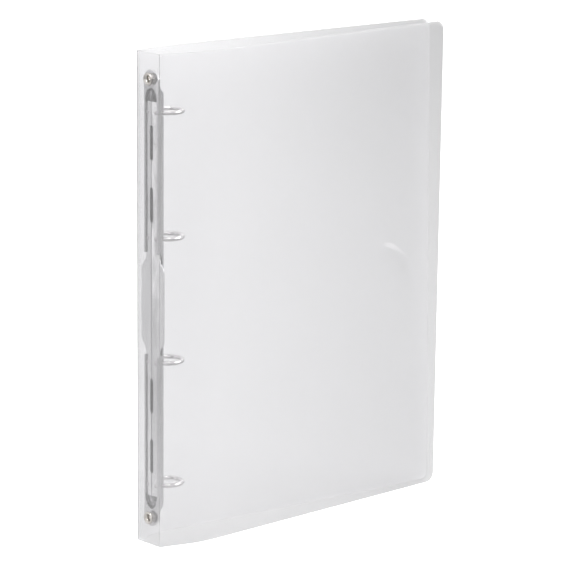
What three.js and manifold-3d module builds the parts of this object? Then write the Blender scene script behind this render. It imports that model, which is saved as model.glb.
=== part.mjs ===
// A four-ring A4 binder: a one-piece cover of translucent polypropylene with two living hinges, and a
// nickel-plated ring mechanism riveted to the inside of its spine. The rings and both covers are shut.
//
// Millimetres. X runs from the spine to the free edges, Y from the front cover to the back cover, Z is up.
// Every piece is drawn from the spine: X = 0 is the spine's outer face ("height" below means X above it),
// Y = 0 is its centre line and Z = 0 is its bottom edge. The group then moves the origin to the centre of
// the whole object's footprint.
import * as THREE from "three";
import { mergeVertices } from "three/addons/utils/BufferGeometryUtils.js";
import Module from "manifold-3d";

// Cover
const COVER_HEIGHT = 316.4;
const COVER_WIDTH = 244;
const SPINE_WIDTH = 23.2;
const SHEET = 0.8;
const CORNER_RADIUS = 6;
const FOLD_CLEARANCE = 1;
const FOLD_RADIUS = 0.7;
const MIDDLE = COVER_HEIGHT / 2;

// How each cover leaves the spine: it flares outwards, bends back, and runs on straight with a slight twist.
// Angles are in degrees, outwards from the X direction. The twist changes the run's angle, bottom to top.
const FRONT = { side: -1, flare: 15.4, bendStart: 20, bendLength: 20, run: -2.4, twist: 0.7 };
const BACK = { side: 1, flare: 11, bendStart: 14, bendLength: 20, run: -4.1, twist: 1.5 };

// Ring mechanism, along Z from the middle of the spine
const RING_PITCH = 80;
const RING_OFFSETS = [1.5, 0.5, -0.5, -1.5].map((step) => step * RING_PITCH);
const RIVET_OFFSET = 141.3;
const BLADE_HALF = 127;
const SLOT_CENTRES = [101, 61.5, -61.5, -101];
const SLOT_LENGTH = 22;
const SLOT_HALF_WIDTH = 1.35;
const WING_CENTRE = -2.5;
const WING_HALF = 31;
const WING_RAMP = 9;
const WING_REACH = 10.8;

// Channel section: heights above the spine's outer face, and half widths
const RIM = 2.6;
const LIP_TOP = 3.2;
const CROWN = 7.9;
const CROWN_RISE = 0.5;
const WALL = 0.65;
const CHANNEL_HALF = 7;
const LIP_HALF = 5.6;
const SHOULDER_RADIUS = 2;
const END_SHOULDER_RADIUS = 0.5;
const TONGUE = 3.3;
const SLOPE_START = 130;
const SLOPE_END = 138;
const ROUND_END_START = RIVET_OFFSET - 1.3;
const CAVITY_END = 135.6;
const CAVITY_TAPER_START = 127.6;
// The sections of a round end stop here, in radians, just before its outermost point.
const LAST_END_ANGLE = 1.4;

// Cuts in the channel: a slot for each half ring's leg, and a notch for each thumb wing
const LEG_CLEARANCE = 0.4;
const LEG_SLOT_INNER = 2.8;
const LEG_SLOT_FLOOR = 5.3;
const NOTCH_TOP = 5.6;
const NOTCH_ROUND = 1.6;
const NOTCH_MARGIN = 2;

// Blades and rings: each blade turns about the line where its outer edge sits above the channel's lip.
const BLADE = 0.8;
const BLADE_TIP = 4;
const BLADE_TIP_CUT = 1.6;
const PIVOT_Y = 6.05;
const PIVOT_HEIGHT = 4;
const BLADE_GAP = 0.2;
const CLOSED_ANGLE = THREE.MathUtils.degToRad(7.5);
const WIRE_RADIUS = 1.5;
const RING_RADIUS = 8 + WIRE_RADIUS;
const RING_CENTRE = 15.3;
const TIP_GAP = 0.6;
const LEG_Y = 4;
const LEG_TOP = 5.6;
const LEG_HANDLE = 1.4;
const ARC_END = 8.8;
const COLLAR_RADIUS = WIRE_RADIUS + 0.1;
const PIN_RADIUS = 0.9;
const PIN_HOLE = 1.15;
const PEEN_RADIUS = 1.25;

// Rivets
const RIVET_BORE = 1.6;
const RIVET_SHANK = 2.1;
const RIVET_HOLE = 2.35;
const FLANGE_RADIUS = 4.1;
const FLANGE_RISE = 1.05;
const RIVET_SHOULDER = 3.3;
const ROLLED_RADIUS = 3.2;
const RIVET_CLEARANCE = 0.1;

const wasm = await Module();
wasm.setup();

const translucent = { transparent: true, opacity: 0.7 };
const polypropylene = () =>
  new THREE.MeshStandardMaterial({ color: 0xe9e9ec, roughness: 0.45, metalness: 0, ...translucent });
const nickel = () => new THREE.MeshStandardMaterial({ color: 0xc4c3c0, roughness: 0.2, metalness: 1 });

const mix = THREE.MathUtils.lerp;

// From 0 to 1 as t goes from 0 to 1, level at both ends.
function ease(t) {
  return (1 - Math.cos(Math.PI * THREE.MathUtils.clamp(t, 0, 1))) / 2;
}

// Evenly spaced values from a to b, both included.
function spread(a, b, steps) {
  return Array.from({ length: steps + 1 }, (_, i) => mix(a, b, i / steps));
}

// A closed mesh as a solid that can be joined and cut.
function toSolid(geometry) {
  const bare = new THREE.BufferGeometry();
  const flat = geometry.index ? geometry.toNonIndexed() : geometry;
  bare.setAttribute("position", flat.getAttribute("position"));
  const merged = mergeVertices(bare, 1e-4);
  const vertProperties = merged.attributes.position.array;
  const triVerts = new Uint32Array(merged.index.array);
  return new wasm.Manifold(new wasm.Mesh({ numProp: 3, vertProperties, triVerts }));
}

function toGeometry(solid) {
  const { vertProperties, triVerts } = solid.getMesh();
  const geometry = new THREE.BufferGeometry();
  geometry.setAttribute("position", new THREE.BufferAttribute(vertProperties, 3));
  geometry.setIndex(new THREE.BufferAttribute(triVerts, 1));
  return geometry;
}

// The volume inside a triangle list, negative where its faces point inwards.
function signedVolume(points, triangles) {
  let sum = 0;
  for (let i = 0; i < triangles.length; i += 3) {
    const [a, b, c] = [0, 1, 2].map((k) => points[triangles[i + k]]);
    sum += a.dot(new THREE.Vector3().crossVectors(b, c));
  }
  return sum / 6;
}

// A closed solid through a row of sections. Each section is a ring of points: its first half runs along one
// side and its second half comes back along the other, so that opposite points pair up across the section.
function loft(sections) {
  const count = sections[0].length;
  const points = sections.flat();
  const triangles = [];
  const quad = (a, b, c, d) => triangles.push(a, b, c, a, c, d);
  for (let s = 0; s + 1 < sections.length; s++) {
    for (let i = 0; i < count; i++) {
      const next = (i + 1) % count;
      quad(s * count + i, s * count + next, (s + 1) * count + next, (s + 1) * count + i);
    }
  }
  const last = (sections.length - 1) * count;
  for (let i = 0; i + 1 < count / 2; i++) {
    const across = count - 1 - i;
    quad(i, across, across - 1, i + 1);
    quad(last + i, last + i + 1, last + across - 1, last + across);
  }
  if (signedVolume(points, triangles) < 0) triangles.reverse();
  const geometry = new THREE.BufferGeometry().setFromPoints(points);
  geometry.setIndex(triangles);
  return geometry;
}

// A cylinder along X, for drilling.
function drill(radius, from, to, y, z, segments = 24) {
  const geometry = new THREE.CylinderGeometry(radius, radius, to - from, segments);
  geometry.rotateZ(Math.PI / 2);
  return toSolid(geometry.translate((from + to) / 2, y, z));
}

// ---- Cover ----

// A point on a cover: s is the distance from the fold along the sheet, and depth the way into the sheet.
function coverPoint(cover, s, z, depth) {
  const flare = THREE.MathUtils.degToRad(cover.flare);
  const run = THREE.MathUtils.degToRad(cover.run + cover.twist * (z / COVER_HEIGHT - 0.5));
  const radius = cover.bendLength / (flare - run);
  const straight = Math.min(s, cover.bendStart);
  const turned = THREE.MathUtils.clamp(s - cover.bendStart, 0, cover.bendLength);
  const rest = Math.max(s - cover.bendStart - cover.bendLength, 0);
  const angle = flare - turned / radius;
  const bendAlong = radius * (Math.sin(flare) - Math.sin(angle));
  const bendOut = radius * (Math.cos(angle) - Math.cos(flare));
  const along = straight * Math.cos(flare) + bendAlong + rest * Math.cos(run);
  const out = straight * Math.sin(flare) + bendOut + rest * Math.sin(run);
  return new THREE.Vector3(
    along + depth * Math.sin(angle),
    cover.side * (SPINE_WIDTH / 2 + out - depth * Math.cos(angle)),
    z,
  );
}

// How far the top and bottom edges pull in at s, because the free corners are rounded.
function cornerInset(s) {
  const past = Math.max(s - (COVER_WIDTH - CORNER_RADIUS), 0);
  return CORNER_RADIUS - Math.sqrt(Math.max(CORNER_RADIUS ** 2 - past ** 2, 0));
}

function coverPanel(cover) {
  const bendEnd = cover.bendStart + cover.bendLength;
  const cornerStart = COVER_WIDTH - CORNER_RADIUS;
  const columns = [
    FOLD_CLEARANCE,
    ...spread(cover.bendStart, bendEnd, 8),
    ...spread(bendEnd, cornerStart, 3).slice(1),
    ...spread(0, Math.PI / 2, 6).slice(1).map((a) => cornerStart + CORNER_RADIUS * Math.sin(a)),
  ];
  const sections = columns.map((s) => {
    const inset = cornerInset(s);
    const heights = spread(inset, COVER_HEIGHT - inset, 5);
    const outer = heights.map((z) => coverPoint(cover, s, z, 0));
    const inner = heights.map((z) => coverPoint(cover, s, z, SHEET)).reverse();
    return [...outer, ...inner];
  });
  return loft(sections);
}

function spinePanel() {
  const panel = new THREE.BoxGeometry(SHEET, SPINE_WIDTH - 2 * FOLD_CLEARANCE, COVER_HEIGHT);
  let solid = toSolid(panel.translate(SHEET / 2, 0, MIDDLE));
  for (const end of [-1, 1]) {
    solid = solid.subtract(drill(RIVET_HOLE, -1, 2, 0, MIDDLE + end * RIVET_OFFSET));
  }
  return toGeometry(solid);
}

// The thinned crease along one long edge of the spine: a quarter round bar about the fold's axis.
function foldWeb(side) {
  const quarter = new THREE.Shape();
  quarter.moveTo(0, 0);
  quarter.lineTo(FOLD_RADIUS, 0);
  quarter.absarc(0, 0, FOLD_RADIUS, 0, Math.PI / 2, false);
  quarter.lineTo(0, 0);
  const settings = { depth: COVER_HEIGHT, bevelEnabled: false, curveSegments: 6 };
  const bar = new THREE.ExtrudeGeometry(quarter, settings);
  if (side > 0) bar.rotateZ(-Math.PI / 2);
  return bar.translate(0, (side * SPINE_WIDTH) / 2, 0);
}

// ---- Channel ----

// Half of the arched section, from the rim to the crown's centre line, as [y, height] pairs.
function archHalf(halfWidth, rim, crown, rise, shoulder) {
  const corner = spread(Math.PI, Math.PI / 2, 4).map((a) => [
    -halfWidth + shoulder + shoulder * Math.cos(a),
    crown - shoulder + shoulder * Math.sin(a),
  ]);
  const flatHalf = halfWidth - shoulder;
  const top = spread(-flatHalf, 0, 3).slice(1, -1).map((y) => [y, crown + rise * (1 - (y / flatHalf) ** 2)]);
  return [[-halfWidth, rim], ...corner, ...top];
}

// A whole section at z from its left half: up one side and down the other.
function archSection(half, z) {
  const left = half.map(([y, height]) => new THREE.Vector3(height, y, z));
  const right = half.map(([y, height]) => new THREE.Vector3(height, -y, z)).reverse();
  return [...left, ...right];
}

// The crown comes down to a flat tongue at each end, and the tongue's end is round.
function crownAt(offset) {
  return mix(CROWN, TONGUE, ease((Math.abs(offset) - SLOPE_START) / (SLOPE_END - SLOPE_START)));
}

function channelBlank() {
  const roundEnd = (a) => [ROUND_END_START + CHANNEL_HALF * Math.sin(a), CHANNEL_HALF * Math.cos(a)];
  const ends = [
    ...spread(SLOPE_START, SLOPE_END, 7).map((offset) => [offset, CHANNEL_HALF]),
    ...spread(0, LAST_END_ANGLE, 7).map(roundEnd),
  ];
  const stations = [...ends.map(([offset, half]) => [-offset, half]).reverse(), ...ends];
  return loft(
    stations.map(([offset, halfWidth]) => {
      const crown = crownAt(offset);
      const share = (crown - TONGUE) / (CROWN - TONGUE);
      const shoulder = Math.min(mix(END_SHOULDER_RADIUS, SHOULDER_RADIUS, share), halfWidth * 0.4);
      return archSection(archHalf(halfWidth, RIM, crown, CROWN_RISE * share, shoulder), MIDDLE + offset);
    }),
  );
}

// The hollow under the arch, narrower between the lips, and pinched to a round end towards each rivet.
function channelCavity() {
  const taper = CAVITY_END - CAVITY_TAPER_START;
  const roundEnd = (a) => [CAVITY_TAPER_START + taper * Math.sin(a), Math.cos(a)];
  const ends = spread(0, LAST_END_ANGLE, 8).map(roundEnd);
  const stations = [...ends.map(([offset, share]) => [-offset, share]).reverse(), ...ends];
  return loft(
    stations.map(([offset, share]) => {
      const roof = crownAt(offset) - WALL;
      const halfWidth = (CHANNEL_HALF - WALL) * share;
      const shoulder = Math.min(SHOULDER_RADIUS - WALL, (roof - LIP_TOP) * 0.8, halfWidth * 0.5);
      const rise = CROWN_RISE * THREE.MathUtils.clamp((roof - LIP_TOP) / (CROWN - WALL - LIP_TOP), 0, 1);
      const lip = [
        [-LIP_HALF * share, RIM - 1],
        [-LIP_HALF * share, LIP_TOP],
      ];
      return archSection([...lip, ...archHalf(halfWidth, LIP_TOP, roof, rise, shoulder)], MIDDLE + offset);
    }),
  );
}

// A slot through one shoulder for a half ring's leg, wide enough for its swing.
function ringSlot(side, z) {
  const half = WIRE_RADIUS + LEG_CLEARANCE;
  const inner = LEG_SLOT_INNER + half;
  const outline = new THREE.Shape();
  outline.moveTo(CHANNEL_HALF + 2, -half);
  outline.lineTo(CHANNEL_HALF + 2, half);
  outline.absarc(inner, 0, half, Math.PI / 2, (3 * Math.PI) / 2, false);
  const slot = new THREE.ExtrudeGeometry(outline, { depth: 5, bevelEnabled: false, curveSegments: 8 });
  // The outline's X becomes Y, its Y becomes Z, and the depth becomes height.
  slot.applyMatrix4(new THREE.Matrix4().set(0, 0, 1, LEG_SLOT_FLOOR, 1, 0, 0, 0, 0, 1, 0, z, 0, 0, 0, 1));
  if (side < 0) slot.rotateX(Math.PI).translate(0, 0, 2 * z);
  return toSolid(slot);
}

// The cut in one wall and its lip that lets the blade's thumb wing out.
function wingNotch(side) {
  const half = WING_HALF + NOTCH_MARGIN;
  const cornerX = NOTCH_TOP - NOTCH_ROUND;
  const cornerY = half - NOTCH_ROUND;
  const outline = new THREE.Shape();
  outline.moveTo(RIM - 1, -half);
  outline.lineTo(cornerX, -half);
  outline.absarc(cornerX, -cornerY, NOTCH_ROUND, -Math.PI / 2, 0, false);
  outline.absarc(cornerX, cornerY, NOTCH_ROUND, 0, Math.PI / 2, false);
  outline.lineTo(RIM - 1, half);
  const depth = 4;
  const inside = LIP_HALF - 0.5;
  const notch = new THREE.ExtrudeGeometry(outline, { depth, bevelEnabled: false, curveSegments: 6 });
  // The outline's X stays height, its Y becomes Z, and the depth runs through the wall.
  notch.rotateX(Math.PI / 2).translate(0, 0, MIDDLE + WING_CENTRE);
  return toSolid(notch.translate(0, side > 0 ? inside + depth : -inside, 0));
}

function ringChannel() {
  let solid = toSolid(channelBlank()).subtract(toSolid(channelCavity()));
  for (const side of [-1, 1]) {
    for (const offset of RING_OFFSETS) solid = solid.subtract(ringSlot(side, MIDDLE + offset));
    solid = solid.subtract(wingNotch(side));
    solid = solid.subtract(drill(RIVET_HOLE, RIM - 1, TONGUE + 2, 0, MIDDLE + side * RIVET_OFFSET));
  }
  return toGeometry(solid);
}

// ---- Blades and rings ----

// From a blade's own flat frame, across from the ridge and up from its middle plane, to the closed position.
function bladePoint(side, across, up, z) {
  const reach = PIVOT_Y - across;
  const height = PIVOT_HEIGHT - reach * Math.sin(CLOSED_ANGLE) + up * Math.cos(CLOSED_ANGLE);
  const y = PIVOT_Y - reach * Math.cos(CLOSED_ANGLE) - up * Math.sin(CLOSED_ANGLE);
  return new THREE.Vector3(height, side * y, z);
}

// The blade's inner edge at an offset along the spine: straight, with a round-ended half slot at four places.
function ridgeEdge(offset) {
  const into = Math.max(...SLOT_CENTRES.map((centre) => SLOT_LENGTH / 2 - Math.abs(offset - centre)));
  const depth = SLOT_HALF_WIDTH - BLADE_GAP;
  const past = THREE.MathUtils.clamp(depth - into, 0, depth);
  return into <= 0 ? BLADE_GAP : BLADE_GAP + Math.sqrt(depth ** 2 - past ** 2);
}

// Its outer edge: inside the wall, and out through the notch as the thumb wing. The ends are cut back.
function outerEdge(offset) {
  const wing = ease((WING_HALF - Math.abs(offset - WING_CENTRE)) / WING_RAMP);
  const end = THREE.MathUtils.clamp((Math.abs(offset) - (BLADE_HALF - BLADE_TIP)) / BLADE_TIP, 0, 1);
  return mix(PIVOT_Y, WING_REACH, wing) - BLADE_TIP_CUT * end;
}

// Beyond the wall the wing bends a little towards the spine.
function wingDroop(across) {
  return 0.03 * Math.max(across - PIVOT_Y, 0) ** 2;
}

function bladeStations() {
  const corner = SLOT_HALF_WIDTH - BLADE_GAP;
  const rounding = spread(0, Math.PI / 2, 4).map((a) => corner * (1 - Math.cos(a)));
  const slotEnds = SLOT_CENTRES.flatMap((centre) =>
    rounding.flatMap((r) => [centre - SLOT_LENGTH / 2 + r, centre + SLOT_LENGTH / 2 - r]),
  );
  const ramp = spread(WING_HALF - WING_RAMP, WING_HALF, 7);
  const wings = ramp.flatMap((r) => [WING_CENTRE - r, WING_CENTRE + r]);
  const tips = [-BLADE_HALF, BLADE_TIP - BLADE_HALF, BLADE_HALF - BLADE_TIP, BLADE_HALF];
  return [...slotEnds, ...wings, ...tips].sort((a, b) => a - b);
}

function blade(side) {
  const sections = bladeStations().map((offset) => {
    const across = spread(ridgeEdge(offset), outerEdge(offset), 3);
    const face = (up) => across.map((a) => bladePoint(side, a, up - wingDroop(a), MIDDLE + offset));
    return [...face(BLADE / 2), ...face(-BLADE / 2).reverse()];
  });
  let solid = toSolid(loft(sections));
  for (const offset of RING_OFFSETS) {
    const hole = new THREE.CylinderGeometry(PIN_HOLE, PIN_HOLE, 4, 16);
    solid = solid.subtract(toSolid(onBlade(hole, side, MIDDLE + offset)));
  }
  return toGeometry(solid);
}

// Moves a shape drawn along +Y, with Y = 0 on the blade's middle plane, to where a ring's leg stands on it.
function onBlade(geometry, side, z) {
  const base = bladePoint(side, LEG_Y, 0, z);
  const tip = bladePoint(side, LEG_Y, 1, z);
  const turn = new THREE.Quaternion().setFromUnitVectors(new THREE.Vector3(0, 1, 0), tip.clone().sub(base));
  return geometry.applyQuaternion(turn).translate(base.x, base.y, base.z);
}

// The wire's centre line: a circle from the tip to the channel's shoulder, a bend, and a leg to the blade.
function ringPath(side, z) {
  const point = (height, y) => new THREE.Vector3(height, side * y, z);
  const first = Math.asin(TIP_GAP / 2 / RING_RADIUS);
  const last = Math.acos((ARC_END - RING_CENTRE) / RING_RADIUS);
  const onCircle = (a) => point(RING_CENTRE + RING_RADIUS * Math.cos(a), RING_RADIUS * Math.sin(a));
  const arc = spread(first, last, 12).map(onCircle);
  const end = arc[arc.length - 1];
  const leg = point(LEG_TOP, LEG_Y);
  const leaving = point(end.x - LEG_HANDLE * Math.sin(last), side * end.y + LEG_HANDLE * Math.cos(last));
  const bend = new THREE.CubicBezierCurve3(end, leaving, point(LEG_TOP + LEG_HANDLE, LEG_Y), leg);
  const foot = bladePoint(side, LEG_Y, BLADE / 2 + 0.5, z);
  return new THREE.CatmullRomCurve3([...arc, ...bend.getPoints(5).slice(1), foot], false, "centripetal");
}

function halfRing(side, z) {
  const section = new THREE.Shape();
  section.absarc(0, 0, WIRE_RADIUS, 0, 2 * Math.PI, false);
  const settings = { steps: 22, extrudePath: ringPath(side, z), curveSegments: 5 };
  const wire = new THREE.ExtrudeGeometry(section, settings);
  // The foot: a peened head under the blade, a pin through its hole, and a collar on its upper face.
  const face = BLADE / 2;
  const profile = [
    [0, -face - 0.75],
    [0.8, -face - 0.65],
    [PEEN_RADIUS, -face - 0.35],
    [PEEN_RADIUS, -face - 0.15],
    [PIN_RADIUS, -face - 0.1],
    [PIN_RADIUS, face + 0.1],
    [COLLAR_RADIUS, face + 0.2],
    [COLLAR_RADIUS, face + 0.6],
    [0, face + 0.8],
  ].map(([r, y]) => new THREE.Vector2(r, y));
  const foot = onBlade(new THREE.LatheGeometry(profile, 10), side, z);
  return toGeometry(toSolid(wire).add(toSolid(foot)));
}

// ---- Rivets ----

// A hollow rivet: a rolled flange outside the spine, a shoulder between the sheet and the channel, and a
// rolled end on the channel's tongue.
function rivet(z) {
  const rolledEnd = TONGUE + RIVET_CLEARANCE;
  const profile = [
    [RIVET_BORE, rolledEnd + 0.6],
    [RIVET_BORE, -0.3],
    [RIVET_BORE + 0.35, -0.85],
    [2.7, -FLANGE_RISE],
    [3.5, -0.9],
    [FLANGE_RADIUS, -0.45],
    [FLANGE_RADIUS, -RIVET_CLEARANCE],
    [RIVET_SHANK, -RIVET_CLEARANCE],
    [RIVET_SHANK, SHEET + RIVET_CLEARANCE],
    [RIVET_SHOULDER, SHEET + RIVET_CLEARANCE],
    [RIVET_SHOULDER, RIM - RIVET_CLEARANCE],
    [RIVET_SHANK, RIM - RIVET_CLEARANCE],
    [RIVET_SHANK, rolledEnd],
    [ROLLED_RADIUS - 0.1, rolledEnd],
    [ROLLED_RADIUS, rolledEnd + 0.4],
    [ROLLED_RADIUS - 0.6, rolledEnd + 0.8],
    [RIVET_BORE, rolledEnd + 0.6],
  ].map(([r, height]) => new THREE.Vector2(r, height));
  const lathe = new THREE.LatheGeometry(profile, 20);
  return lathe.rotateZ(-Math.PI / 2).translate(0, 0, z);
}

// ---- Assembly ----

const binder = new THREE.Group();

function add(name, geometry, material) {
  const mesh = new THREE.Mesh(geometry, material);
  mesh.name = name;
  binder.add(mesh);
}

add("spine_panel", spinePanel(), polypropylene());
add("front_cover", coverPanel(FRONT), polypropylene());
add("back_cover", coverPanel(BACK), polypropylene());
add("front_fold", foldWeb(-1), polypropylene());
add("back_fold", foldWeb(1), polypropylene());
add("ring_channel", ringChannel(), nickel());
add("front_blade", blade(-1), nickel());
add("back_blade", blade(1), nickel());
RING_OFFSETS.forEach((offset, i) => {
  add(`ring_${i + 1}_front`, halfRing(-1, MIDDLE + offset), nickel());
  add(`ring_${i + 1}_back`, halfRing(1, MIDDLE + offset), nickel());
});
add("top_rivet", rivet(MIDDLE + RIVET_OFFSET), nickel());
add("bottom_rivet", rivet(MIDDLE - RIVET_OFFSET), nickel());

const box = new THREE.Box3().setFromObject(binder);
const centre = box.getCenter(new THREE.Vector3());
binder.position.set(-centre.x, -centre.y, -box.min.z);

export default binder;
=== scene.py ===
"""Looks for a translucent four-ring A4 binder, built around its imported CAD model.

Shapes are drawn in millimetres in the binder's own coordinates: x is the height above the spine's outer face,
y runs from the front cover to the back cover with 0 on the spine's centre line, and z is up from the bottom
edge. place() turns them into metres in the row frame. side is -1 for the front half and 1 for the back half.
"""

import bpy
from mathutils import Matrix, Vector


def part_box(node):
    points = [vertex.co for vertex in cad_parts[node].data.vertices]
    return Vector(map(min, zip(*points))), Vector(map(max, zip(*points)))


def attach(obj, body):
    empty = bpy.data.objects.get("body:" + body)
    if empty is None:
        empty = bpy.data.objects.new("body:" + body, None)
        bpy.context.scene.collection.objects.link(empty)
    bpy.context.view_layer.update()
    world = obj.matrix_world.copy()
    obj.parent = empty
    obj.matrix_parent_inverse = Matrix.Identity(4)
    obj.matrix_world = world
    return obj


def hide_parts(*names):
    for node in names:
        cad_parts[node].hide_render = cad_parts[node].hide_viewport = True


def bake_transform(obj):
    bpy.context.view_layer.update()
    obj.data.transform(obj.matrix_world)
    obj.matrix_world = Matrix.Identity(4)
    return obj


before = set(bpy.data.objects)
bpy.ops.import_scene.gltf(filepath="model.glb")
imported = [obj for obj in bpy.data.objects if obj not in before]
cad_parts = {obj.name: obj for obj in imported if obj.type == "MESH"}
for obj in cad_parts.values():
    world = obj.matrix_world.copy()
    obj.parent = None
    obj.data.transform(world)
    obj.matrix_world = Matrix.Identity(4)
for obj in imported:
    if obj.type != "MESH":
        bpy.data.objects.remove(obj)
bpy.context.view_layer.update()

import math

import bmesh
import bpy
import numpy as np
from mathutils import Matrix, Vector

MM = 0.001
SPINE_LOW, SPINE_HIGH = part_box("spine_panel")
ORIGIN = np.array([SPINE_LOW.x, (SPINE_LOW.y + SPINE_HIGH.y) / 2, SPINE_LOW.z])

# Cover
COVER_HEIGHT = (SPINE_HIGH.z - SPINE_LOW.z) / MM
COVER_WIDTH = 244
SHEET = (SPINE_HIGH.x - SPINE_LOW.x) / MM
FOLD_TANGENT = 1.0
SPINE_WIDTH = (SPINE_HIGH.y - SPINE_LOW.y) / MM + 2 * FOLD_TANGENT
WEB = 0.7
GROOVE_RAMP = 2.5
CORNER_RADIUS = 6
EDGE_ROUND = 0.15
FRONT = {"side": -1, "flare": 15.4, "bend_start": 20, "bend": 20, "run": -2.4, "twist": 0.7}
BACK = {"side": 1, "flare": 11, "bend_start": 14, "bend": 20, "run": -4.1, "twist": 1.5}

# A faint crease pressed into the front cover by handling: an arc about this centre, as s and z
CREASE_CENTRE = (187, 139.5)
CREASE_RADIUS = 30
CREASE_HEIGHT = 1.1
CREASE_WIDTH = 3.6

# Ring mechanism
MIDDLE = COVER_HEIGHT / 2
RING_HEIGHTS = [sum(corner.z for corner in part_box(f"ring_{i}_front")) / 2 / MM for i in (1, 2, 3, 4)]
RIVET_HEIGHTS = [sum(corner.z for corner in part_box(name)) / 2 / MM for name in ("top_rivet", "bottom_rivet")]
RIVET_OFFSET = RIVET_HEIGHTS[0] - MIDDLE
BLADE_HALF = 127
SLOT_CENTRES = (101, 61.5, -61.5, -101)
SLOT_LENGTH = 22
SLOT_HALF_WIDTH = 1.35
WING_CENTRE = -2.5
WING_HALF = 31
WING_RAMP = 9
WING_REACH = 10.8
RIM = 2.6
LIP_TOP = 3.2
CROWN = 7.9
CROWN_RISE = 0.5
WALL = 0.65
CHANNEL_HALF = 7
LIP_HALF = 5.6
SHOULDER_RADIUS = 2
TONGUE = 3.3
SLOPE_START = 132
SLOPE_END = 138
ROUND_END_START = RIVET_OFFSET - 1.3
CAVITY_END = 135.6
CAVITY_TAPER_START = 127.6
LAST_END_ANGLE = 1.45
LEG_CLEARANCE = 0.4
LEG_SLOT_INNER = 2.8
LEG_SLOT_FLOOR = 5.3
NOTCH_TOP = 5.6
NOTCH_ROUND = 1.6
NOTCH_MARGIN = 2
BLADE = 0.8
PIVOT_Y = 6.05
PIVOT_HEIGHT = 4
BLADE_GAP = 0.2
CLOSED_ANGLE = math.radians(7.5)
WIRE_RADIUS = 1.5
RING_RADIUS = 9.5
RING_CENTRE = 15.3
TIP_GAP = 0.12
LEG_Y = 4
LEG_TOP = 5.6
LEG_HANDLE = 1.4
ARC_END = 8.8


def place(points):
    return np.asarray(points, float) * MM + ORIGIN


def ease(t):
    """From 0 to 1 as t goes from 0 to 1, level at both ends."""
    return (1 - np.cos(np.pi * np.clip(t, 0, 1))) / 2


def mix(a, b, t):
    return a + (b - a) * t


def arc(centre, radius, start, end, steps):
    """Points on a circular arc, in a plane, with angles in degrees."""
    angles = np.radians(np.linspace(start, end, steps + 1))
    return [(centre[0] + radius * math.cos(a), centre[1] + radius * math.sin(a)) for a in angles]


# ---- Meshes ----


def lofted(sections, ends=(True, True)):
    """A solid through rings of points. Opposite points pair up across a ring to close an end, and ends says
    whether the first and the last are closed."""
    sections = np.asarray(sections, float)
    rows, count = sections.shape[:2]
    index = np.arange(rows * count).reshape(rows, count)
    faces = []
    for a, b in zip(index[:-1], index[1:]):
        faces += [(a[i], a[(i + 1) % count], b[(i + 1) % count], b[i]) for i in range(count)]
    for ring in [index[i] for i, closed in zip((0, -1), ends) if closed]:
        for i in range(count // 2 - 1):
            faces.append((ring[i], ring[-1 - i], ring[-2 - i], ring[i + 1]))
    return sections.reshape(-1, 3), faces


def revolved(profile, segments):
    """A solid of revolution about z, from (radius, z) pairs that run round in a loop or end on the axis."""
    turns = np.linspace(0, 2 * math.pi, segments, endpoint=False)
    vertices = [(r * math.cos(a), r * math.sin(a), z) for a in turns for r, z in profile]
    count = len(profile)
    closed = profile[0][0] > 0
    faces = []
    for t in range(segments):
        here, there = t * count, (t + 1) % segments * count
        for i in range(count if closed else count - 1):
            j = (i + 1) % count
            faces.append((here + i, here + j, there + j, there + i))
    return np.array(vertices), faces


def prism(outline, low, high):
    """An outline in the xy plane, extruded along z."""
    count = len(outline)
    vertices = [(x, y, z) for z in (low, high) for x, y in outline]
    faces = [tuple(range(count)), tuple(range(count, 2 * count))]
    faces += [(i, (i + 1) % count, count + (i + 1) % count, count + i) for i in range(count)]
    return np.array(vertices), faces


def solid(name, shape):
    """A new object from vertices in the binder's own millimetres, with its faces turned outwards."""
    vertices, faces = shape
    mesh = bpy.data.meshes.new(name)
    mesh.from_pydata([tuple(p) for p in place(vertices)], [], [tuple(map(int, f)) for f in faces])
    work = bmesh.new()
    work.from_mesh(mesh)
    bmesh.ops.remove_doubles(work, verts=work.verts, dist=1e-7)
    bmesh.ops.recalc_face_normals(work, faces=work.faces)
    work.to_mesh(mesh)
    work.free()
    obj = bpy.data.objects.new(name, mesh)
    bpy.context.scene.collection.objects.link(obj)
    return obj


def combine(obj, others, operation):
    """Joins the others to obj, or cuts them out of it, and removes them."""
    for other in others:
        modifier = obj.modifiers.new(operation, "BOOLEAN")
        modifier.operation = operation
        modifier.solver = "EXACT"
        modifier.object = other
    graph = bpy.context.evaluated_depsgraph_get()
    mesh = bpy.data.meshes.new_from_object(obj.evaluated_get(graph))
    obj.modifiers.clear()
    spare = obj.data
    obj.data = mesh
    bpy.data.meshes.remove(spare)
    for other in others:
        bpy.data.objects.remove(other)
    return obj


def milky_edges(obj, run=0.6):
    """Gives the sheet's sheared edges their own material: faces that look up, down or along the cover. run is
    how far a face has to look along the cover, and a value above 1 leaves those faces out."""
    obj.data.materials.append(EDGE_MATERIAL)
    for polygon in obj.data.polygons:
        if abs(polygon.normal.z) > 0.3 or polygon.normal.x > run:
            polygon.material_index = 1


def finish_piece(obj, body, material, node, smooth=30):
    """Shades a piece smooth across angles below smooth degrees, and makes it stand for its CAD node."""
    mesh = obj.data
    mesh.shade_smooth()
    mesh.set_sharp_from_angle(angle=math.radians(smooth))
    mesh.materials.clear()
    mesh.materials.append(material)
    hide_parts(node)
    if body:
        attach(obj, body)
    return obj


# ---- Cover ----

CREASE_STEP = 0.9


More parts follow.
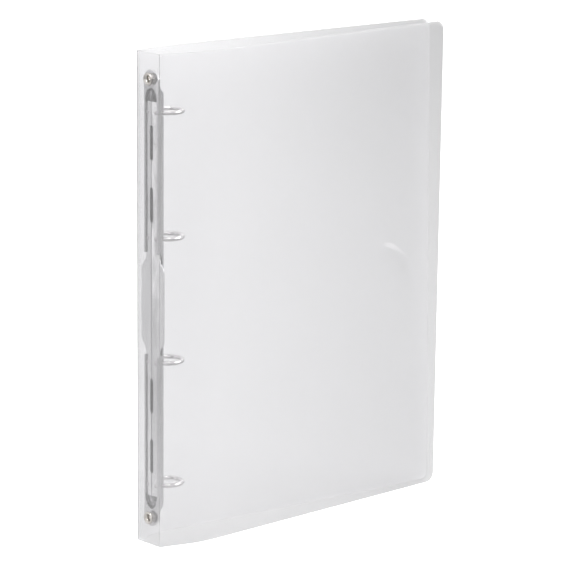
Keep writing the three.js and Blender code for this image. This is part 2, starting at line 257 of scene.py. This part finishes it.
def crease_lift(cover, s, z):
    """How far the handling crease stands out of the front cover."""
    if cover is not FRONT:
        return 0
    ds, dz = s - CREASE_CENTRE[0], z - CREASE_CENTRE[1]
    across = (math.hypot(ds, dz) - CREASE_RADIUS) / CREASE_WIDTH
    turn = math.degrees(math.atan2(dz, ds))
    share = ease((turn + 12) / 60) * ease((95 - turn) / 25)
    return CREASE_HEIGHT * share * math.exp(-across * across)


def cover_point(cover, s, z, depth):
    """A point on a cover: s is the distance from the fold along the sheet, and depth the way into it."""
    flare = math.radians(cover["flare"])
    run = math.radians(cover["run"] + cover["twist"] * (z / COVER_HEIGHT - 0.5))
    radius = cover["bend"] / (flare - run)
    straight = min(s, cover["bend_start"])
    turned = min(max(s - cover["bend_start"], 0), cover["bend"])
    rest = max(s - cover["bend_start"] - cover["bend"], 0)
    angle = flare - turned / radius
    along = straight * math.cos(flare) + radius * (math.sin(flare) - math.sin(angle)) + rest * math.cos(run)
    out = straight * math.sin(flare) + radius * (math.cos(angle) - math.cos(flare)) + rest * math.sin(run)
    inwards = depth - crease_lift(cover, s, z)
    return (
        along + inwards * math.sin(angle),
        cover["side"] * (SPINE_WIDTH / 2 + out - inwards * math.cos(angle)),
        z,
    )


def thickness(distance):
    """The sheet's thickness at a distance from the fold's corner: thin in the pressed groove, then full."""
    return mix(WEB, SHEET, ease((distance - FOLD_TANGENT) / GROOVE_RAMP))


def slab(stations, point, rows, ends=(True, True)):
    """A sheet through stations of (s, inset, trim, full thickness): inset shortens it at the top and bottom,
    and trim takes that much off both faces. point(s, z, depth) puts it in place. The cover's five sheets are
    one moulding, so they stay open towards each other at the folds."""
    sections = []
    for s, inset, trim, full in stations:
        low, high = inset, COVER_HEIGHT - inset
        top, bottom = trim, full - trim
        r = min(EDGE_ROUND, (bottom - top) * 0.45)
        heights = [mix(low + r, high - r, t) for t in rows]
        ring = [(z, top) for z in heights]
        ring += [(high - r + y, top + r - x) for x, y in arc((0, 0), r, 0, 90, 3)[::-1]][::-1][1:]
        ring += [(high - r + x, bottom - r + y) for x, y in arc((0, 0), r, 0, 90, 3)][:-1]
        ring += [(z, bottom) for z in heights[::-1]]
        ring += [(low + r - y, bottom - r + x) for x, y in arc((0, 0), r, 0, 90, 3)][1:]
        ring += [(low + r - x, top + r - y) for x, y in arc((0, 0), r, 0, 90, 3)][:-1]
        sections.append([point(s, z, depth) for z, depth in ring])
    return lofted(sections, ends)


def corner_inset(s):
    past = max(s - (COVER_WIDTH - CORNER_RADIUS), 0)
    return CORNER_RADIUS - math.sqrt(max(CORNER_RADIUS**2 - past**2, 0))


def cover_sheet(name, cover, body, material):
    bend_end = cover["bend_start"] + cover["bend"]
    corner_start = COVER_WIDTH - CORNER_RADIUS
    groove = list(np.linspace(FOLD_TANGENT, FOLD_TANGENT + GROOVE_RAMP, 6))
    flat = list(np.linspace(groove[-1], cover["bend_start"], 5))[1:]
    bend = list(np.linspace(cover["bend_start"], bend_end, 15))[1:]
    run = list(np.linspace(bend_end, corner_start, 100))[1:]
    rows = np.linspace(0, 1, 150)
    if cover is FRONT:
        reach = CREASE_RADIUS + 3 * CREASE_WIDTH
        s_middle, z_middle = CREASE_CENTRE
        run = sorted(run + list(np.arange(s_middle, min(s_middle + reach, corner_start - 1), CREASE_STEP)))
        fine = np.arange(z_middle - 10, z_middle + reach, CREASE_STEP) / COVER_HEIGHT
        rows = sorted(list(rows) + list(fine))
    quarter = np.linspace(0, math.pi / 2, 13)[1:]
    turn = [corner_start + (CORNER_RADIUS - EDGE_ROUND) * math.sin(a) for a in quarter]
    stations = [(s, corner_inset(s), 0, thickness(s)) for s in groove + flat + bend + run + turn]
    for a in np.radians([30, 60, 90]):
        s = COVER_WIDTH - EDGE_ROUND * (1 - math.sin(a))
        stations.append((s, corner_inset(s), EDGE_ROUND * (1 - math.cos(a)), SHEET))

    def point(s, z, depth):
        return cover_point(cover, s, z, depth)

    obj = solid(name, slab(stations, point, rows, (False, True)))
    finish_piece(obj, body, material, body, smooth=25)
    milky_edges(obj)
    return obj


def spine_sheet(material):
    half = SPINE_WIDTH / 2
    ramp = list(np.linspace(FOLD_TANGENT, FOLD_TANGENT + GROOVE_RAMP, 6))
    across = [half - t for t in ramp]
    across += list(np.linspace(across[-1], -across[-1], 12))[1:-1] + [-y for y in across[::-1]]
    stations = [(y, 0, 0, thickness(half - abs(y))) for y in across]
    obj = solid("spine_sheet", slab(stations, lambda y, z, depth: (depth, y, z), np.linspace(0, 1, 60)))
    holes = [drill(f"rivet_cut_{i}", 2.3, -1, 2, z) for i, z in enumerate(RIVET_HEIGHTS)]
    combine(obj, holes, "DIFFERENCE")
    finish_piece(open_sides(obj, half - FOLD_TANGENT), "spine", material, "spine_panel")
    milky_edges(obj, run=2)
    return obj


def open_sides(obj, half_width):
    """Removes the two side faces where the spine runs on into the folds."""
    work = bmesh.new()
    work.from_mesh(obj.data)
    limit = (half_width - 0.001) * MM
    sides = [f for f in work.faces if all(abs(v.co.y - ORIGIN[1]) > limit for v in f.verts)]
    bmesh.ops.delete(work, geom=sides, context="FACES")
    work.to_mesh(obj.data)
    work.free()
    return obj


def fold_strip(name, cover, node, material):
    """The pressed crease between spine and cover: a thin web bent round the corner."""
    turning = math.pi / 2 - math.radians(cover["flare"])
    radius = FOLD_TANGENT / math.tan(turning / 2)
    y_start = SPINE_WIDTH / 2 - FOLD_TANGENT

    def point(angle, z, depth):
        r = radius - depth
        return (radius - r * math.cos(angle), cover["side"] * (y_start + r * math.sin(angle)), z)

    stations = [(a, 0, 0, WEB) for a in np.linspace(0, turning, 13)]
    obj = solid(name, slab(stations, point, np.linspace(0, 1, 60), (False, False)))
    finish_piece(obj, None, material, node)
    milky_edges(obj, run=2)
    start = place(point(0, MIDDLE, WEB / 2))
    end = place(point(turning, MIDDLE, WEB / 2))
    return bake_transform(obj)


# ---- Channel ----


def drill(name, radius, low, high, z, segments=48):
    """A cylinder along x."""
    outline = arc((0, 0), radius, 0, 360, segments)[:-1]
    vertices, faces = prism(outline, low, high)
    vertices = np.stack([vertices[:, 2], vertices[:, 0], vertices[:, 1] + z], 1)
    return solid(name, (vertices, faces))


def crown_at(offset):
    return mix(CROWN, TONGUE, ease((abs(offset) - SLOPE_START) / (SLOPE_END - SLOPE_START)))


def arch_half(half_width, rim, crown, rise, shoulder, rim_round):
    """Half of the arched section, from the rim to near the crown's centre line, as (y, x) pairs."""
    start = arc((-half_width + rim_round, rim + rim_round), rim_round, 270, 180, 4) if rim_round else []
    start = start or [(-half_width, rim)]
    corner = arc((-half_width + shoulder, crown - shoulder), shoulder, 180, 90, 10)
    flat_half = half_width - shoulder
    top = [(y, crown + rise * (1 - (y / flat_half) ** 2)) for y in np.linspace(-flat_half, 0, 9)[1:-1]]
    return start + corner + top


def arch_section(half, z):
    left = [(x, y, z) for y, x in half]
    return left + [(x, -y, z) for y, x in half[::-1]]


def both_ways(ends):
    return [(-offset, value) for offset, value in ends[::-1]] + ends


def channel_blank():
    ends = [(offset, CHANNEL_HALF) for offset in np.linspace(SLOPE_START, SLOPE_END, 15)]
    for a in np.linspace(0, LAST_END_ANGLE, 20):
        ends.append((ROUND_END_START + CHANNEL_HALF * math.sin(a), CHANNEL_HALF * math.cos(a)))
    sections = []
    for offset, half_width in both_ways(ends):
        crown = crown_at(offset)
        share = (crown - TONGUE) / (CROWN - TONGUE)
        shoulder = min(mix(0.3, SHOULDER_RADIUS, share), half_width * 0.4)
        rim_round = min(mix(0.25, 0.5, share), half_width * 0.4)
        half = arch_half(half_width, RIM, crown, CROWN_RISE * share, shoulder, rim_round)
        sections.append(arch_section(half, MIDDLE + offset))
    return lofted(sections)


def channel_cavity():
    taper = CAVITY_END - CAVITY_TAPER_START
    ends = []
    for a in np.linspace(0, LAST_END_ANGLE, 16):
        ends.append((CAVITY_TAPER_START + taper * math.sin(a), math.cos(a)))
    sections = []
    for offset, share in both_ways(ends):
        roof = crown_at(offset) - WALL
        half_width = (CHANNEL_HALF - WALL) * share
        shoulder = min(SHOULDER_RADIUS - WALL, (roof - LIP_TOP) * 0.8, half_width * 0.5)
        rise = CROWN_RISE * np.clip((roof - LIP_TOP) / (CROWN - WALL - LIP_TOP), 0, 1)
        lip = [(-LIP_HALF * share, RIM - 1), (-LIP_HALF * share, LIP_TOP)]
        half = lip + arch_half(half_width, LIP_TOP, roof, rise, shoulder, 0)
        sections.append(arch_section(half, MIDDLE + offset))
    return lofted(sections)


def leg_slot(name, side, z):
    """A cutter for the slot that a half ring's leg stands in."""
    half = WIRE_RADIUS + LEG_CLEARANCE
    inner = LEG_SLOT_INNER + half
    outline = [(CHANNEL_HALF + 2, -half), (CHANNEL_HALF + 2, half)] + arc((inner, 0), half, 90, 270, 16)
    vertices, faces = prism(outline, LEG_SLOT_FLOOR, LEG_SLOT_FLOOR + 5)
    vertices = np.stack([vertices[:, 2], side * vertices[:, 0], z + vertices[:, 1]], 1)
    return solid(name, (vertices, faces))


def wing_notch(name, side):
    """A cutter for the notch in one wall that lets the thumb wing out."""
    half = WING_HALF + NOTCH_MARGIN
    x, y = NOTCH_TOP - NOTCH_ROUND, half - NOTCH_ROUND
    outline = [(RIM - 1, -half)]
    outline += arc((x, -y), NOTCH_ROUND, -90, 0, 10) + arc((x, y), NOTCH_ROUND, 0, 90, 10)
    outline.append((RIM - 1, half))
    vertices, faces = prism(outline, LIP_HALF - 0.5, LIP_HALF + 3.5)
    z = MIDDLE + WING_CENTRE
    vertices = np.stack([vertices[:, 0], side * vertices[:, 2], z + vertices[:, 1]], 1)
    return solid(name, (vertices, faces))


def ring_channel(material):
    obj = solid("ring_channel_plate", channel_blank())
    cutters = [solid("cavity_cut", channel_cavity())]
    for side in (-1, 1):
        cutters += [leg_slot(f"leg_cut_{side}_{i}", side, z) for i, z in enumerate(RING_HEIGHTS)]
        cutters.append(wing_notch(f"notch_cut_{side}", side))
    cutters += [drill(f"tongue_cut_{i}", 2.35, RIM - 1, TONGUE + 2, z) for i, z in enumerate(RIVET_HEIGHTS)]
    combine(obj, cutters, "DIFFERENCE")
    return finish_piece(obj, "spine", material, "ring_channel", smooth=28)


# ---- Blades and rings ----


def blade_point(side, across, up, z):
    """From a blade's own flat frame, across from the ridge and up from its middle plane, to where it lies."""
    reach = PIVOT_Y - across
    x = PIVOT_HEIGHT - reach * math.sin(CLOSED_ANGLE) + up * math.cos(CLOSED_ANGLE)
    y = PIVOT_Y - reach * math.cos(CLOSED_ANGLE) - up * math.sin(CLOSED_ANGLE)
    return (x, side * y, z)


def ridge_edge(offset):
    """The blade's inner edge: straight, with a round-ended half slot at four places."""
    into = max(SLOT_LENGTH / 2 - abs(offset - centre) for centre in SLOT_CENTRES)
    depth = SLOT_HALF_WIDTH - BLADE_GAP
    past = min(max(depth - into, 0), depth)
    return BLADE_GAP if into <= 0 else BLADE_GAP + math.sqrt(depth**2 - past**2)


def outer_edge(offset):
    """Its outer edge: inside the wall, and out through the notch as the thumb wing."""
    wing = ease((WING_HALF - abs(offset - WING_CENTRE)) / WING_RAMP)
    end = min(max((abs(offset) - (BLADE_HALF - 4)) / 4, 0), 1)
    return mix(PIVOT_Y, WING_REACH, wing) - 1.6 * end


def wing_droop(across):
    return 0.03 * max(across - PIVOT_Y, 0) ** 2


def blade_stations():
    depth = SLOT_HALF_WIDTH - BLADE_GAP
    rounding = [depth * (1 - math.cos(a)) for a in np.linspace(0, math.pi / 2, 9)]
    ends = {c - SLOT_LENGTH / 2 + r for c in SLOT_CENTRES for r in rounding}
    ends |= {c + SLOT_LENGTH / 2 - r for c in SLOT_CENTRES for r in rounding}
    for r in np.linspace(WING_HALF - WING_RAMP, WING_HALF, 15):
        ends |= {WING_CENTRE - r, WING_CENTRE + r}
    for r in np.linspace(BLADE_HALF - 4, BLADE_HALF, 3):
        ends |= {-r, r}
    ends |= set(np.linspace(-BLADE_HALF + 6, BLADE_HALF - 6, 60))
    return sorted(ends)


def on_blade(shape, side, z):
    """Moves a shape drawn along +z, with z = 0 on the blade's middle plane, to where a ring's leg stands."""
    vertices, faces = shape
    base = np.array(blade_point(side, LEG_Y, 0, z))
    tip = np.array(blade_point(side, LEG_Y, 1, z))
    turn = Vector((0, 0, 1)).rotation_difference(Vector(tip - base))
    matrix = np.array(turn.to_matrix())
    return np.asarray(vertices) @ matrix.T + base, faces


def blade(name, side, node, material):
    half = BLADE / 2
    bead = 0.16
    sections = []
    for offset in blade_stations():
        ridge, outer = ridge_edge(offset), outer_edge(offset)
        row = [(ridge, half - bead), (ridge + bead, half)]
        row += [(a, half) for a in np.linspace(ridge + bead, outer - bead, 8)[1:]]
        row.append((outer, half - bead))
        row += [(a, -up) for a, up in row[::-1]]
        z = MIDDLE + offset
        sections.append([blade_point(side, a, up - wing_droop(a), z) for a, up in row])
    obj = solid(name, lofted(sections))
    cutters = []
    for i, z in enumerate(RING_HEIGHTS):
        shape = prism(arc((0, 0), 1.15, 0, 360, 24)[:-1], -2, 2)
        cutters.append(solid(f"{name}_pin_cut_{i}", on_blade(shape, side, z)))
    combine(obj, cutters, "DIFFERENCE")
    body = "front_rings" if side < 0 else "back_rings"
    return finish_piece(obj, body, material, node, smooth=25)


def ring_path():
    """The wire's centre line as (x, y) with y outwards: a circle, a bend and a leg that ends on the blade."""
    first = math.asin(TIP_GAP / 2 / RING_RADIUS)
    last = math.acos((ARC_END - RING_CENTRE) / RING_RADIUS)
    turns = np.linspace(first, last, 56)
    points = [(RING_CENTRE + RING_RADIUS * math.cos(a), RING_RADIUS * math.sin(a)) for a in turns]
    end = np.array(points[-1])
    leaving = end + LEG_HANDLE * np.array([-math.sin(last), math.cos(last)])
    arriving = np.array([LEG_TOP + LEG_HANDLE, LEG_Y])
    leg = np.array([LEG_TOP, LEG_Y])
    for t in np.linspace(0, 1, 15)[1:]:
        points.append(
            tuple(
                (1 - t) ** 3 * end
                + 3 * t * (1 - t) ** 2 * leaving
                + 3 * t**2 * (1 - t) * arriving
                + t**3 * leg
            )
        )
    x, y, _ = blade_point(1, LEG_Y, BLADE / 2 + 0.5, 0)
    points.append((x, y))
    return np.array(points)


def half_ring(name, side, z, node, material):
    path = ring_path()
    tangents = np.gradient(path, axis=0)
    tangents /= np.linalg.norm(tangents, axis=1)[:, None]
    chamfer = {0: 0.86, 1: 0.97}
    sections = []
    for i, ((x, y), (tx, ty)) in enumerate(zip(path, tangents)):
        r = WIRE_RADIUS * chamfer.get(i, 1)
        ring = []
        for a in np.linspace(0, 2 * math.pi, 32, endpoint=False):
            across, along = r * math.cos(a), r * math.sin(a)
            ring.append((x - ty * across, side * (y + tx * across), z + along))
        sections.append(ring)
    wire = solid(name, lofted(sections))
    face = BLADE / 2
    profile = [(0, -face - 0.75)]
    dome = np.linspace(0.25, math.pi / 2, 7)
    profile += [(1.25 * math.sin(a), -face - 0.15 - 0.6 * math.cos(a)) for a in dome]
    profile += [
        (1.25, -face - 0.05),
        (0.9, -face - 0.02),
        (0.9, face + 0.02),
        (1.6, face + 0.06),
        (1.75, face + 0.25),
        (1.6, face + 0.5),
        (0, face + 0.8),
    ]
    foot = solid(f"{name}_foot", on_blade(revolved(profile, 32), side, z))
    combine(wire, [foot], "UNION")
    body = "front_rings" if side < 0 else "back_rings"
    return finish_piece(wire, body, material, node, smooth=35)


# ---- Rivets ----


def rivet(name, z, node, material):
    """A hollow rivet with a rolled flange outside the spine and a rolled end on the channel's tongue."""
    profile = [(1.5, 4.0), (1.5, 1.3), (1.55, 0.9), (1.68, 0.5), (1.88, 0.12), (2.14, -0.24), (2.44, -0.56)]
    profile += [(2.76, -0.82), (3.08, -0.97), (3.38, -1.0), (3.66, -0.9), (3.88, -0.7), (4.03, -0.42)]
    profile += [(4.1, -0.15), (4.05, -0.05)]
    profile += [(2.1, -0.02), (2.1, SHEET + 0.02), (3.3, SHEET + 0.02), (3.3, RIM - 0.03), (2.1, RIM - 0.03)]
    profile += [(2.1, TONGUE + 0.02), (3.1, TONGUE + 0.02), (3.25, TONGUE + 0.3), (3.1, TONGUE + 0.7)]
    profile += [(2.6, TONGUE + 0.9), (2.1, TONGUE + 0.85)]
    vertices, faces = revolved(profile, 64)
    vertices = np.stack([vertices[:, 2], vertices[:, 0], vertices[:, 1] + z], 1)
    return finish_piece(solid(name, (vertices, faces)), "spine", material, node, smooth=40)


# ---- Materials ----

PLASTIC = (0.975, 0.973, 0.983)
PLASTIC_CLEAR = 0.89
PLASTIC_IOR = 1.49
SHEARED = (0.84, 0.84, 0.85)
SHEARED_CLEAR = 0.5


def new_material(name, colour, roughness, **inputs):
    material = bpy.data.materials.new(name)
    material.use_nodes = True
    shader = material.node_tree.nodes["Principled BSDF"]
    shader.inputs["Base Color"].default_value = (*colour, 1)
    shader.inputs["Roughness"].default_value = roughness
    for key, value in inputs.items():
        shader.inputs[key.replace("_", " ")].default_value = value
    return material


def node(material, kind, settings=None, **links):
    """Adds a node. settings sets its inputs by name, and links joins them to other sockets."""
    made = material.node_tree.nodes.new(kind)
    for key, value in (settings or {}).items():
        made.inputs[key].default_value = value
    for key, socket in links.items():
        material.node_tree.links.new(socket, made.inputs[key])
    return made


def noise(material, scale, detail, stretch=(1, 1, 1)):
    """Noise in the object's own metres."""
    place_node = node(material, "ShaderNodeTexCoord")
    mapping = node(material, "ShaderNodeMapping", {"Scale": stretch}, Vector=place_node.outputs["Object"])
    settings = {"Scale": scale, "Detail": detail}
    made = node(material, "ShaderNodeTexNoise", settings, Vector=mapping.outputs["Vector"])
    return made.outputs["Fac"]


def remap(material, value, low, high):
    made = node(material, "ShaderNodeMapRange", {"To Min": low, "To Max": high}, Value=value)
    made.inputs["From Min"].default_value = 0.3
    made.inputs["From Max"].default_value = 0.7
    return made.outputs["Result"]


def roughen(material, value, low, high):
    shader = material.node_tree.nodes["Principled BSDF"]
    material.node_tree.links.new(remap(material, value, low, high), shader.inputs["Roughness"])


def bump(material, value, distance, strength=1.0):
    shader = material.node_tree.nodes["Principled BSDF"]
    made = node(material, "ShaderNodeBump", {"Distance": distance, "Strength": strength}, Height=value)
    material.node_tree.links.new(made.outputs["Normal"], shader.inputs["Normal"])


def see_through(material, share):
    shader = material.node_tree.nodes["Principled BSDF"]
    shader.inputs["Transmission Weight"].default_value = share
    shader.inputs["IOR"].default_value = PLASTIC_IOR


def frosted_sheet():
    """Frosted polypropylene: mostly clear, milky inside, with a fine matt grain."""
    material = new_material("frosted_polypropylene", PLASTIC, 0.08)
    see_through(material, PLASTIC_CLEAR)
    roughen(material, noise(material, 900, 3), 0.06, 0.1)
    bump(material, noise(material, 2600, 2), 0.00002, 0.3)
    return material


def pressed_crease():
    """The hinge lines, squeezed smoother and clearer than the sheet."""
    material = new_material("pressed_polypropylene", PLASTIC, 0.1)
    see_through(material, PLASTIC_CLEAR)
    roughen(material, noise(material, 700, 2, (1, 1, 0.05)), 0.06, 0.12)
    return material


def cut_edge():
    """Where the sheet is sheared it scatters light, so its rim looks milky."""
    material = new_material("sheared_polypropylene", SHEARED, 0.4)
    see_through(material, SHEARED_CLEAR)
    bump(material, noise(material, 1500, 2), 0.00003, 0.5)
    return material


def nickel(name, colour, smooth, rough, stretch, wave):
    """Bright nickel plate with faint drawing lines along the longer axis of the noise. wave is how far the
    pressed strip rises and falls, in metres."""
    material = new_material(name, colour, smooth, Metallic=1.0)
    roughen(material, noise(material, 350, 4, stretch), smooth, rough)
    bump(material, noise(material, 120, 1, (1, 1, 0.5)), wave, 1.0)
    return material


# ---- Studio ----

WORLD = 1.0

# The pale floor: its own shade, its glow behind the binder at the picture's left and right, and what share of
# that glow is left in front of the binder and far out to the left
FLOOR = 0.17
GLOW_LEFT = 0.79
GLOW_RIGHT = 0.21
GLOW_FRONT = 0.5
GLOW_SIDE = 0.6

FLOOR_REACH = 14
TABLE_STEP = 0.0002

# Where the camera looks, how far away it stands and which way it faces
TARGET = (88.0, -30.1, 161.7)
CAMERA_DISTANCE = 2150
CAMERA_AZIMUTH = math.radians(41.54)
CAMERA_PITCH = math.radians(12.405)
CAMERA_ROLL = math.radians(0.457)
CAMERA_LENS = 212.66


def make_camera():
    forward = Vector(
        (
            math.sin(CAMERA_AZIMUTH) * math.cos(CAMERA_PITCH),
            math.cos(CAMERA_AZIMUTH) * math.cos(CAMERA_PITCH),
            -math.sin(CAMERA_PITCH),
        )
    )
    right = Vector((math.cos(CAMERA_AZIMUTH), -math.sin(CAMERA_AZIMUTH), 0))
    up = right.cross(forward)
    across = right * math.cos(CAMERA_ROLL) + up * math.sin(CAMERA_ROLL)
    upwards = up * math.cos(CAMERA_ROLL) - right * math.sin(CAMERA_ROLL)
    camera = bpy.data.objects.new("camera", bpy.data.cameras.new("camera"))
    bpy.context.scene.collection.objects.link(camera)
    camera.matrix_world = Matrix((across, upwards, -forward)).transposed().to_4x4()
    camera.location = Vector(place(TARGET)) - forward * CAMERA_DISTANCE * MM
    camera.data.lens = CAMERA_LENS
    camera.data.sensor_width = 36
    camera.data.clip_start = 0.05
    camera.data.clip_end = 60
    bpy.context.scene.camera = camera


def area_light(name, position, target, size, power):
    light = bpy.data.lights.new(name, "AREA")
    light.energy = power
    light.shape = "RECTANGLE"
    light.size, light.size_y = size
    obj = bpy.data.objects.new(name, light)
    bpy.context.scene.collection.objects.link(obj)
    obj.location = position
    obj.visible_camera = False
    obj.rotation_mode = "QUATERNION"
    obj.rotation_quaternion = (Vector(target) - Vector(position)).to_track_quat("-Z", "Y")
    return obj


def make_studio():
    scene = bpy.context.scene
    scene.view_settings.view_transform = "Standard"
    scene.cycles.use_denoising = True
    scene.cycles.max_bounces = 24
    scene.cycles.transmission_bounces = 24
    scene.cycles.glossy_bounces = 8
    world = bpy.data.worlds.new("studio")
    scene.world = world
    world.use_nodes = True
    background = world.node_tree.nodes["Background"]
    background.inputs["Color"].default_value = (1, 1, 1, 1)
    background.inputs["Strength"].default_value = WORLD
    make_floor("floor", 0, pale_floor()).visible_camera = False
    glow = {"Emission_Color": (1, 1, 1, 1), "Emission_Strength": 0.6}
    white = new_material("white_table", (0.9, 0.9, 0.9), 0.9, **glow)
    table = make_floor("white_table", TABLE_STEP, white)
    for kind in ("diffuse", "glossy", "transmission", "volume_scatter", "shadow"):
        setattr(table, f"visible_{kind}", False)
    area_light("side_strip", (-0.65, 0.43, 0.22), (0, 0, 0.15), (0.12, 0.5), 0.15)
    area_light("key", (0.85, -0.95, 0.95), (0.05, 0, 0.15), (1.1, 0.8), 19)
    area_light("overhead", (-0.5, -0.5, 1.5), (0, 0, 0.1), (0.8, 0.8), 6)
    area_light("low_panel", (1.53, -1.29, 0.28), (0.1, 0, 0.15), (0.7, 0.25), 0.35)


def pale_floor():
    """The floor that the sheets and the metal see. It glows softly: brighter along the left of the picture,
    dimmer in front of the binder and far out to the left."""
    pale = new_material("pale_floor", (FLOOR, FLOOR, FLOOR), 0.8, Emission_Color=(1, 1, 1, 1))
    place_node = node(pale, "ShaderNodeTexCoord")
    turn = {"Rotation": (0, 0, CAMERA_AZIMUTH)}
    turned = node(pale, "ShaderNodeMapping", turn, Vector=place_node.outputs["Object"])
    axes = node(pale, "ShaderNodeSeparateXYZ", Vector=turned.outputs["Vector"])
    across = fade(pale, axes.outputs["X"], (-0.2, 0.3), (GLOW_LEFT, GLOW_RIGHT))
    behind = fade(pale, axes.outputs["Y"], (-0.35, 0.1), (GLOW_FRONT, 1))
    inside = fade(pale, axes.outputs["X"], (-0.55, -0.2), (GLOW_SIDE, 1))
    glow = multiply(pale, multiply(pale, across, behind), inside)
    shader = pale.node_tree.nodes["Principled BSDF"]
    pale.node_tree.links.new(glow, shader.inputs["Emission Strength"])
    return pale


def multiply(material, a, b):
    made = node(material, "ShaderNodeMath")
    made.operation = "MULTIPLY"
    material.node_tree.links.new(a, made.inputs[0])
    material.node_tree.links.new(b, made.inputs[1])
    return made.outputs["Value"]


def fade(material, value, reach, strength):
    """A smooth change from the first strength to the second as value goes through reach."""
    made = node(material, "ShaderNodeMapRange", Value=value)
    made.interpolation_type = "SMOOTHSTEP"
    for key, number in zip(("From Min", "From Max", "To Min", "To Max"), reach + strength):
        made.inputs[key].default_value = number
    return made.outputs["Result"]


def make_floor(name, height, material):
    """A plane under the binder. height is a small step that keeps two of them apart."""
    mesh = bpy.data.meshes.new(name)
    low, high = -FLOOR_REACH, FLOOR_REACH
    corners = [(low, low, 0), (high, low, 0), (high, high, 0), (low, high, 0)]
    mesh.from_pydata(corners, [], [(0, 1, 2, 3)])
    floor = bpy.data.objects.new(name, mesh)
    bpy.context.scene.collection.objects.link(floor)
    floor.location.z = height - 0.0005
    mesh.materials.append(material)
    return floor


make_camera()
make_studio()

SHEET_MATERIAL = frosted_sheet()
EDGE_MATERIAL = cut_edge()
CREASE_MATERIAL = pressed_crease()
CHANNEL_NICKEL = nickel("channel_nickel_plate", (0.66, 0.655, 0.66), 0.12, 0.22, (1, 1, 0.04), 0.0004)
BLADE_NICKEL = nickel("blade_nickel_plate", (0.86, 0.855, 0.86), 0.14, 0.24, (1, 1, 0.04), 0.0007)
RING_NICKEL = nickel("ring_nickel_plate", (0.7, 0.685, 0.685), 0.05, 0.12, (1, 1, 1), 0.00005)
RIVET_NICKEL = nickel("rivet_nickel_plate", (0.6, 0.575, 0.55), 0.08, 0.16, (1, 1, 1), 0.00005)

spine_sheet(SHEET_MATERIAL)
cover_sheet("front_cover_sheet", FRONT, "front_cover", SHEET_MATERIAL)
cover_sheet("back_cover_sheet", BACK, "back_cover", SHEET_MATERIAL)
fold_strip("front_fold_strip", FRONT, "front_fold", CREASE_MATERIAL)
fold_strip("back_fold_strip", BACK, "back_fold", CREASE_MATERIAL)
ring_channel(CHANNEL_NICKEL)
blade("front_blade_plate", -1, "front_blade", BLADE_NICKEL)
blade("back_blade_plate", 1, "back_blade", BLADE_NICKEL)
for number, ring_height in enumerate(RING_HEIGHTS, 1):
    half_ring(f"ring_{number}_front_wire", -1, ring_height, f"ring_{number}_front", RING_NICKEL)
    half_ring(f"ring_{number}_back_wire", 1, ring_height, f"ring_{number}_back", RING_NICKEL)
rivet("top_rivet_shell", RIVET_HEIGHTS[0], "top_rivet", RIVET_NICKEL)
rivet("bottom_rivet_shell", RIVET_HEIGHTS[1], "bottom_rivet", RIVET_NICKEL)
